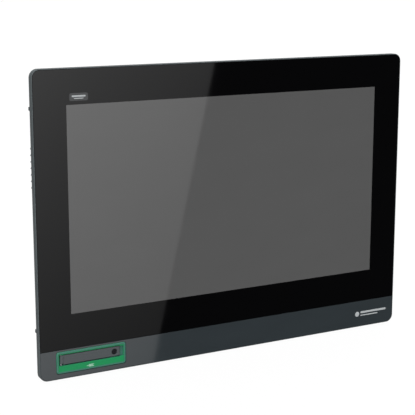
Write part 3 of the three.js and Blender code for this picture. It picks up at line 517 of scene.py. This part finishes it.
def make_band_mark():
    """A plain mark at the band's right end: a dot, and two thin bars beside it, with round ends."""
    dot = (41.0 * MM, 5.4 * MM, 5.4 * MM, 0.0)
    upper_bar = (34.0 * MM, 34.0 * MM, 2.2 * MM, 1.5 * MM)
    lower_bar = (34.0 * MM, 23.0 * MM, 1.2 * MM, -1.9 * MM)
    round_end = 0.49                     # corner radius as a share of the height
    right = BEZEL_HIGH.x - 9.6 * MM
    middle_z = (BAND_LOW.z + BAND_HIGH.z) / 2 - 0.5 * MM
    mesh = bmesh.new()
    for start, width, height, rise in (dot, upper_bar, lower_bar):
        middle = (right - start + width / 2, middle_z + rise)
        add_mark(mesh, middle, (width, height), height * round_end, BAND_LOW.y)
    show(mesh, "band_mark", "panel", PRINT_SILVER)


def make_port_sign():
    """A plain plug sign under the USB door: a lead, a body, a collar and two prongs."""
    lead = (-2.8 * MM, 0.0, 2.2 * MM, 0.7 * MM)
    body = (-0.4 * MM, 0.0, 2.6 * MM, 2.4 * MM)
    collar = (1.6 * MM, 0.0, 1.0 * MM, 3.0 * MM)
    upper_prong = (2.9 * MM, 0.8 * MM, 1.6 * MM, 0.6 * MM)
    lower_prong = (2.9 * MM, -0.8 * MM, 1.6 * MM, 0.6 * MM)
    corner = 0.15 * MM
    middle_x = (GREEN_LOW.x + GREEN_HIGH.x) / 2 - 1.3 * MM
    middle_z = GREEN_LOW.z + 3.7 * MM
    mesh = bmesh.new()
    for shift, rise, width, height in (lead, body, collar, upper_prong, lower_prong):
        middle = (middle_x + shift, middle_z + rise)
        add_mark(mesh, middle, (width, height), corner, FRONT)
    show(mesh, "port_sign", "panel", PRINT_GREEN)


make_badge()
make_band_mark()
make_port_sign()


# ---------------------------------------------------------------- small parts of the connectors

STRIP_PROUD = 0.04 * MM      # how far a contact strip or a ruled line stands out
STRIP_SUNK = 0.02 * MM       # how far it reaches into what it lies on


def add_block(mesh, low, high, slope=0.0):
    """A small block between two corners. Its far end, at the higher Z, is raised along Y by slope."""
    (x0, y0, z0), (x1, y1, z1) = low, high
    ring = []
    for z, shift in ((z0, 0.0), (z1, slope)):
        corners = ((x0, y0 + shift), (x1, y0 + shift), (x1, y1 + shift), (x0, y1 + shift))
        ring.append([mesh.verts.new((x, y, z)) for x, y in corners])
    bridge(mesh, ring[0], ring[1])
    mesh.faces.new(ring[0])
    mesh.faces.new(list(reversed(ring[1])))


def make_usb_contacts():
    """Four gold strips on the tongue of each USB socket: two at the back, one behind the door."""
    shifts = (-3.5 * MM, -1.17 * MM, 1.17 * MM, 3.5 * MM)
    half_width = 0.45 * MM
    tongue_depth = 2.9 * MM              # from the shell's outside to the tongue's face
    near = 1.2 * MM                      # where a strip begins and ends, from the mouth
    far = 8.2 * MM
    mesh = bmesh.new()
    for node in ("rear_usb_socket_1", "rear_usb_socket_2"):
        low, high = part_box(node)
        tongue = low.y + tongue_depth
        for shift in shifts:
            x = (low.x + high.x) / 2 + shift
            start = (x - half_width, tongue - STRIP_PROUD, low.z + near)
            end = (x + half_width, tongue + STRIP_SUNK, low.z + far)
            add_block(mesh, start, end)
    low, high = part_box("front_usb_socket")
    tongue = high.z - tongue_depth
    for shift in shifts:
        x = (low.x + high.x) / 2 + shift
        start = (x - half_width, low.y + near, tongue - STRIP_SUNK)
        end = (x + half_width, low.y + far, tongue + STRIP_PROUD)
        add_block(mesh, start, end)
    show(mesh, "usb_contacts", "panel", GOLD)


JACKS = ("ethernet_jack_1", "ethernet_jack_2")


def make_jack_wires():
    """Eight sprung gold wires in each network jack, sloping inwards."""
    wire_count = 8
    pitch = 1.02 * MM
    half_width = 0.18 * MM
    start_y = 2.5 * MM
    thickness = 0.3 * MM
    start_z = 2.5 * MM
    end_z = 11.0 * MM
    slope = 2.4 * MM
    mesh = bmesh.new()
    for node in JACKS:
        low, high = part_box(node)
        for wire in range(wire_count):
            x = (low.x + high.x) / 2 + (wire - (wire_count - 1) / 2) * pitch
            start = (x - half_width, low.y + start_y, low.z + start_z)
            end = (x + half_width, low.y + start_y + thickness, low.z + end_z)
            add_block(mesh, start, end, slope)
    show(mesh, "jack_wires", "panel", GOLD)


def make_jack_lamps(name, side, material):
    """A small lamp in the mouth's corner of each network jack, on one side of it."""
    from_middle = 6.2 * MM
    half_width = 1.2 * MM
    start_y = 11.5 * MM
    end_y = 12.7 * MM
    start_z = 0.05 * MM
    end_z = 0.39 * MM
    mesh = bmesh.new()
    for node in JACKS:
        low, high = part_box(node)
        x = (low.x + high.x) / 2 + side * from_middle
        start = (x - half_width, low.y + start_y, low.z + start_z)
        end = (x + half_width, low.y + end_y, low.z + end_z)
        add_block(mesh, start, end)
    show(mesh, name, "panel", material)


def make_plate_rules():
    """Plain printed rules on the rating plate: a border and two lines in it, with no wording."""
    margin = 2.0 * MM
    thin = 0.4 * MM
    rear = PLATE_HIGH.y
    x0, x1 = PLATE_LOW.x + margin, PLATE_HIGH.x - margin
    z0, z1 = PLATE_LOW.z + margin, PLATE_HIGH.z - margin
    third = (z1 - z0) / 3
    mesh = bmesh.new()
    for z in (z0, z0 + third, z0 + 2 * third, z1 - thin):
        add_block(mesh, (x0, rear - STRIP_SUNK, z), (x1, rear + STRIP_PROUD, z + thin))
    # The upright rules stand half as proud, so that no two faces lie in one plane where rules cross
    for x in (x0, x1 - thin):
        low = (x, rear - STRIP_SUNK, z0 + thin)
        add_block(mesh, low, (x + thin, rear + STRIP_PROUD / 2, z1 - thin))
    show(mesh, "plate_rules", "panel", DARK_INK)


make_usb_contacts()
make_jack_wires()
make_jack_lamps("jack_lamps_left", -1, LAMP_GREEN)
make_jack_lamps("jack_lamps_right", 1, LAMP_AMBER)
make_plate_rules()


# ---------------------------------------------------------------- softened edges

SHARP_ANGLE = math.radians(40)
WELD_DISTANCE = 0.001 * MM


def soften(node, width):
    """Eases a CAD piece's sharp edges by width, so that they catch the light."""
    piece = frame["nodes"][node]
    weld = piece.modifiers.new("weld", "WELD")
    weld.merge_threshold = WELD_DISTANCE
    ease = piece.modifiers.new("ease", "BEVEL")
    ease.width = width
    ease.segments = 2
    ease.limit_method = "ANGLE"
    ease.angle_limit = SHARP_ANGLE
    ease.use_clamp_overlap = True


for node in ("control_box", "rear_housing"):
    soften(node, 0.25 * MM)
for node in ("heat_sink", "usb_door", "power_plug", "card_cover", "power_header"):
    soften(node, 0.15 * MM)


# ---------------------------------------------------------------- camera, stage and light

CAMERA_YAW = math.radians(28.79)
CAMERA_DROP = math.radians(11.58)
CAMERA_AWAY = 1.1625                     # metres from the point that it aims at
CAMERA_LENS = 101.82                     # millimetres
CAMERA_NEAR = 0.05
CAMERA_FAR = 50
AIM = Vector((-26.8 * MM, FRONT, 3.9 * MM))

FLOOR_HALF = 12                          # half the floor's side, in metres
FLOOR_BELOW = 0.5 * MM
FLOOR_GREY = (0.05, 0.05, 0.05)
FLOOR_GLOW = 0.93
WHITE = (1, 1, 1, 1)

# The softbox stands in this plane in front of the glass. Two points give its slanting right edge.
SOFTBOX_Y = FRONT - 1.6
SOFTBOX_EDGE_TOP = Vector((0.8832, 0.0, 0.0456))
SOFTBOX_EDGE_FOOT = Vector((0.6746, 0.0, -0.8485))
SOFTBOX_LEFT = -2.6
SOFTBOX_UP = 1.2                         # how far that edge goes on past its two points, as shares
SOFTBOX_DOWN = 0.6                       # of the distance between them
SOFTBOX_LOG_GLOW = 1.03                  # natural logarithm of its strength where X and Z are 0
SOFTBOX_FALLOFF = (-1.2, 0.0, 1.38)      # what each metre adds to that logarithm
SOFTBOX_MOST = 2.2                       # the strength that it is cut off at

# The world's strength for every ray but the camera's, and what it gains above and behind
ROOM_GLOW = 0.03
ABOVE_GLOW = 1.0
BEHIND_GLOW = 0.38


def make_camera():
    """The photograph's camera: to the left of the screen and a little above it."""
    data = bpy.data.cameras.new("camera")
    data.lens = CAMERA_LENS
    data.clip_start = CAMERA_NEAR
    data.clip_end = CAMERA_FAR
    camera = bpy.data.objects.new("camera", data)
    bpy.context.scene.collection.objects.link(camera)
    forward = Vector(
        (
            math.sin(CAMERA_YAW) * math.cos(CAMERA_DROP),
            math.cos(CAMERA_YAW) * math.cos(CAMERA_DROP),
            -math.sin(CAMERA_DROP),
        )
    )
    camera.location = AIM - forward * CAMERA_AWAY
    camera.rotation_euler = (math.pi / 2 - CAMERA_DROP, 0, -CAMERA_YAW)
    bpy.context.scene.camera = camera


def make_floor():
    """A plain white floor under the panel's lower edge, which shows no reflection in the glass."""
    mesh = bmesh.new()
    bmesh.ops.create_grid(mesh, x_segments=1, y_segments=1, size=FLOOR_HALF)
    data = bpy.data.meshes.new("floor")
    mesh.to_mesh(data)
    mesh.free()
    floor = bpy.data.objects.new("floor", data)
    bpy.context.scene.collection.objects.link(floor)
    floor.location.z = cad_low.z - FLOOR_BELOW
    material, _, surface = new_material("floor", FLOOR_GREY, 1.0)
    surface.inputs["Emission Color"].default_value = WHITE
    surface.inputs["Emission Strength"].default_value = FLOOR_GLOW
    data.materials.append(material)
    floor.visible_glossy = False
    floor.visible_diffuse = False


def make_softbox():
    """The studio's softbox, as the glossy front mirrors it: its straight right edge is the diagonal.

    Its light falls off downwards and to the right. Only glossy surfaces see it: it lights nothing.
    """
    along = SOFTBOX_EDGE_TOP - SOFTBOX_EDGE_FOOT
    top = SOFTBOX_EDGE_TOP + along * SOFTBOX_UP
    foot = SOFTBOX_EDGE_FOOT - along * SOFTBOX_DOWN
    left, y = SOFTBOX_LEFT, SOFTBOX_Y
    mesh = bmesh.new()
    corners = [(left, y, foot.z), (foot.x, y, foot.z), (top.x, y, top.z), (left, y, top.z)]
    mesh.faces.new([mesh.verts.new(c) for c in corners])
    data = bpy.data.meshes.new("softbox")
    mesh.to_mesh(data)
    mesh.free()
    softbox = bpy.data.objects.new("softbox", data)
    bpy.context.scene.collection.objects.link(softbox)
    material = bpy.data.materials.new("softbox")
    material.use_nodes = True
    tree = material.node_tree
    tree.nodes.clear()
    output = tree.nodes.new("ShaderNodeOutputMaterial")
    glow = tree.nodes.new("ShaderNodeEmission")
    tree.links.new(glow.outputs[0], output.inputs["Surface"])
    falloff = tree.nodes.new("ShaderNodeVectorMath")
    falloff.operation = "DOT_PRODUCT"
    falloff.inputs[1].default_value = SOFTBOX_FALLOFF
    tree.links.new(place(tree), falloff.inputs[0])
    level = tree.nodes.new("ShaderNodeMath")
    level.operation = "ADD"
    level.inputs[1].default_value = SOFTBOX_LOG_GLOW
    tree.links.new(falloff.outputs["Value"], level.inputs[0])
    strength = tree.nodes.new("ShaderNodeMath")
    strength.operation = "EXPONENT"
    tree.links.new(level.outputs[0], strength.inputs[0])
    ceiling = tree.nodes.new("ShaderNodeMath")
    ceiling.operation = "MINIMUM"
    ceiling.inputs[1].default_value = SOFTBOX_MOST
    tree.links.new(strength.outputs[0], ceiling.inputs[0])
    tree.links.new(ceiling.outputs[0], glow.inputs["Strength"])
    data.materials.append(material)
    softbox.visible_camera = False
    softbox.visible_diffuse = False
    softbox.visible_shadow = False
    softbox.visible_transmission = False


def make_world():
    """White to the camera. What lights the object is a room dark in front, light above and behind."""
    world = bpy.data.worlds.new("studio")
    bpy.context.scene.world = world
    world.use_nodes = True
    tree = world.node_tree
    tree.nodes.clear()
    output = tree.nodes.new("ShaderNodeOutputWorld")
    white = tree.nodes.new("ShaderNodeBackground")
    room = tree.nodes.new("ShaderNodeBackground")
    choose = tree.nodes.new("ShaderNodeMixShader")
    path = tree.nodes.new("ShaderNodeLightPath")
    tree.links.new(path.outputs["Is Camera Ray"], choose.inputs["Fac"])
    tree.links.new(room.outputs[0], choose.inputs[1])
    tree.links.new(white.outputs[0], choose.inputs[2])
    tree.links.new(choose.outputs[0], output.inputs["Surface"])
    white.inputs["Color"].default_value = WHITE
    heading = tree.nodes.new("ShaderNodeTexCoord")
    axes = tree.nodes.new("ShaderNodeSeparateXYZ")
    tree.links.new(heading.outputs["Generated"], axes.inputs[0])
    above = spread(tree, axes.outputs["Z"], 0.0, ABOVE_GLOW, start=0.15, end=0.75)
    behind = spread(tree, axes.outputs["Y"], 0.0, BEHIND_GLOW, start=-0.1, end=0.6)
    both = tree.nodes.new("ShaderNodeMath")
    both.operation = "MAXIMUM"
    tree.links.new(above, both.inputs[0])
    tree.links.new(behind, both.inputs[1])
    total = tree.nodes.new("ShaderNodeMath")
    total.operation = "ADD"
    total.inputs[1].default_value = ROOM_GLOW
    tree.links.new(both.outputs[0], total.inputs[0])
    tree.links.new(total.outputs[0], room.inputs["Strength"])


def make_sun(name, source, strength, softness):
    """A distant lamp, softness degrees wide, shining from the direction source and not mirrored."""
    data = bpy.data.lights.new(name, "SUN")
    data.energy = strength
    data.angle = math.radians(softness)
    lamp = bpy.data.objects.new(name, data)
    bpy.context.scene.collection.objects.link(lamp)
    lamp.rotation_euler = Vector(source).to_track_quat("Z", "Y").to_euler()
    lamp.visible_glossy = False


make_camera()
make_floor()
make_softbox()
make_world()
make_sun("key", source=(-0.9, -1.0, 0.8), strength=3.3, softness=50)
make_sun("fill", source=(0.4, -1.0, -0.3), strength=0.7, softness=60)
make_sun("back", source=(0.5, 1.0, 0.8), strength=2.2, softness=40)

bpy.context.scene.view_settings.view_transform = "Standard"
bpy.context.scene.view_settings.look = "None"
